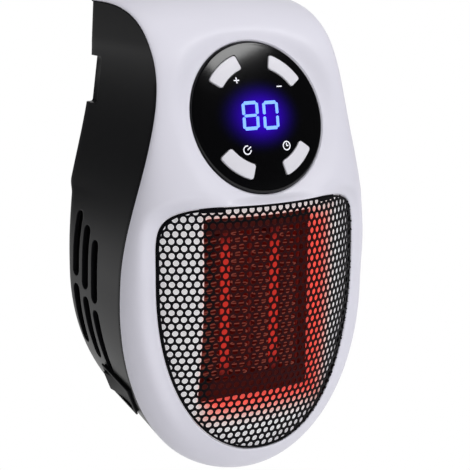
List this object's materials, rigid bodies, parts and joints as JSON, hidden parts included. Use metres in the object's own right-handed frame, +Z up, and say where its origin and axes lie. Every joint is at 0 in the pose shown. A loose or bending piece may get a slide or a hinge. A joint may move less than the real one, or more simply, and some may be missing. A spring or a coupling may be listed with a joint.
{
  "type": "plug-in fan heater",
  "caption": "Compact fan heater that plugs straight into a wall socket: two-shell housing, perforated outlet over a finned heater, round control panel, side air slots and a swivelling plug.",
  "frame": {"origin": "centre of the swivelling plug's face, where it meets the wall socket", "axes": "+Z up, -Y towards the front with the display and the air outlet, +Y towards the wall, +X to the right seen from the front"},
  "size_m": [0.1018, 0.0883, 0.1732],
  "materials": {
    "lavender_shell": "satin",
    "black_shell": "satin",
    "grille_black": "satin",
    "baffle_white": "satin",
    "panel_gloss": "polished",
    "key_white": "satin",
    "digit_blue": "lit",
    "board_green": "satin",
    "moulded_black": "satin",
    "holder_dark": "matte",
    "bar_red": "satin",
    "fin_aluminium": "satin",
    "fan_grey": "satin",
    "steel": "brushed",
    "brass": "satin",
    "relay_blue": "satin",
    "film_yellow": "satin"
  },
  "bodies": {
    "plug": {"plug_disc": "black_shell", "plug_blade_left": "brass", "plug_blade_right": "brass"},
    "housing": {"air_baffle": "baffle_white", "board_screw_1": "steel", "board_screw_2": "steel", "case_screw_1": "steel", "case_screw_2": "steel", "case_screw_3": "steel", "case_screw_4": "steel", "case_screw_5": "steel", "digit_module": "digit_blue", "display_board": "board_green", "display_panel": "panel_gloss", "fan_frame": "fan_grey", "fan_motor": "steel", "fan_screw_1": "steel", "fan_screw_2": "steel", "fan_screw_3": "steel", "fan_screw_4": "steel", "film_capacitor": "film_yellow", "fin_pack_inner_left": "fin_aluminium", "fin_pack_inner_right": "fin_aluminium", "fin_pack_outer_left": "fin_aluminium", "fin_pack_outer_right": "fin_aluminium", "front_cover": "lavender_shell", "heater_bar_left": "bar_red", "heater_bar_right": "bar_red", "heater_centre_plate": "bar_red", "heater_end_plate_left": "bar_red", "heater_end_plate_right": "bar_red", "heater_holder_bottom": "holder_dark", "heater_holder_top": "holder_dark", "heater_side_rail_left": "holder_dark", "heater_side_rail_right": "holder_dark", "infrared_receiver": "moulded_black", "key_switch_lower_left": "moulded_black", "key_switch_lower_right": "moulded_black", "key_switch_upper_left": "moulded_black", "key_switch_upper_right": "moulded_black", "mains_terminal": "moulded_black", "outlet_grille": "grille_black", "plug_retainer": "fan_grey", "power_board": "board_green", "rear_cover": "black_shell", "relay": "relay_blue", "retainer_screw_1": "steel", "retainer_screw_2": "steel", "rocker_frame": "moulded_black", "supply_capacitor": "moulded_black", "thermal_cutoff": "steel", "thermal_fuse": "steel"},
    "rotor": {"fan_rotor": "fan_grey"},
    "rocker": {"rocker_cap": "moulded_black"},
    "key_upper_left": {"button_upper_left": "key_white"},
    "key_upper_right": {"button_upper_right": "key_white"},
    "key_lower_left": {"button_lower_left": "key_white"},
    "key_lower_right": {"button_lower_right": "key_white"}
  },
  "joints": [
    {"name": "plug_swivel", "type": "hinge", "parent": "plug", "child": "housing", "pos_m": [0, 0, 0], "axis": [0, 1, 0], "range_deg": [-90, 90]},
    {"name": "fan_spin", "type": "hinge", "parent": "housing", "child": "rotor", "pos_m": [0, -0.0345, -0.0775], "axis": [0, 1, 0], "continuous": true},
    {"name": "press_upper_left", "type": "slide", "parent": "housing", "child": "key_upper_left", "axis": [0, 0.9537, -0.3007], "range_m": [0, 0.0006], "stiffness_N_per_m": 800, "springref_m": -0.0006},
    {"name": "press_upper_right", "type": "slide", "parent": "housing", "child": "key_upper_right", "axis": [0, 0.9537, -0.3007], "range_m": [0, 0.0006], "stiffness_N_per_m": 800, "springref_m": -0.0006},
    {"name": "press_lower_left", "type": "slide", "parent": "housing", "child": "key_lower_left", "axis": [0, 0.9537, -0.3007], "range_m": [0, 0.0006], "stiffness_N_per_m": 800, "springref_m": -0.0006},
    {"name": "press_lower_right", "type": "slide", "parent": "housing", "child": "key_lower_right", "axis": [0, 0.9537, -0.3007], "range_m": [0, 0.0006], "stiffness_N_per_m": 800, "springref_m": -0.0006},
    {"name": "rocker_tip", "type": "hinge", "parent": "housing", "child": "rocker", "pos_m": [-0.04125, -0.03472, -0.10711], "axis": [-0.4458, -0.2244, 0.8665], "range_deg": [-10, 0]}
  ]
}
